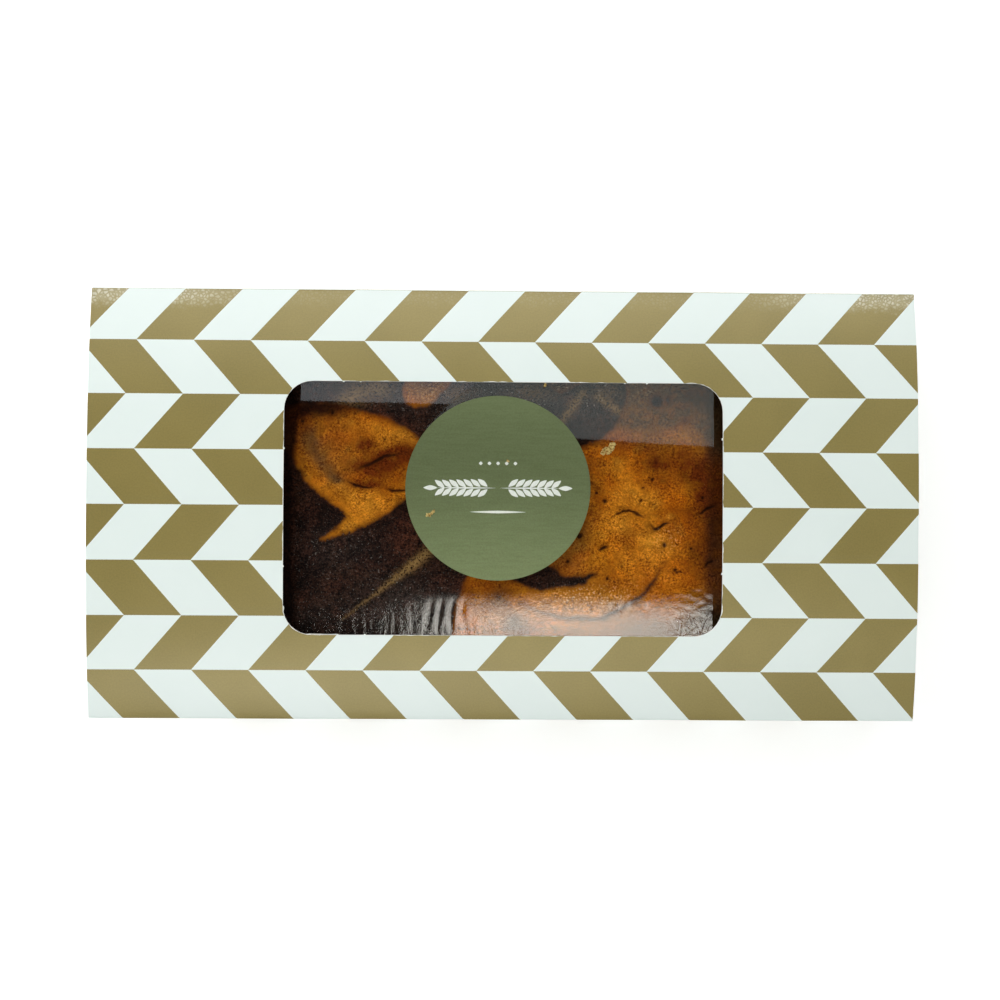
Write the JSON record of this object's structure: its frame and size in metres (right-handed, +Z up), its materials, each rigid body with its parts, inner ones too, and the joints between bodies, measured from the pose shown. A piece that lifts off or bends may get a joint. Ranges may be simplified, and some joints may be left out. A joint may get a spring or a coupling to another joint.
{
  "type": "boxed marble loaf cake",
  "caption": "Marble loaf cake in a closed printed board carton with an arched windowed top, clear film and a round label.",
  "frame": {"origin": "on the ground under the middle of the carton", "axes": "+Z up, +X along the carton's length, -Y towards the front long side"},
  "size_m": [0.25, 0.1306, 0.0711],
  "materials": {
    "printed_board": "white coated board printed with a satin gold chevron pattern",
    "clear_film": "thin clear film with soft wrinkles",
    "label_paper": "smooth satin sage green paper",
    "cake_crumb": "golden and dark cocoa marbled baked crust, slightly moist"
  },
  "bodies": {
    "root": {"carton": "printed_board", "window_film": "clear_film", "label": "label_paper", "cake": "cake_crumb"}
  },
  "joints": []
}
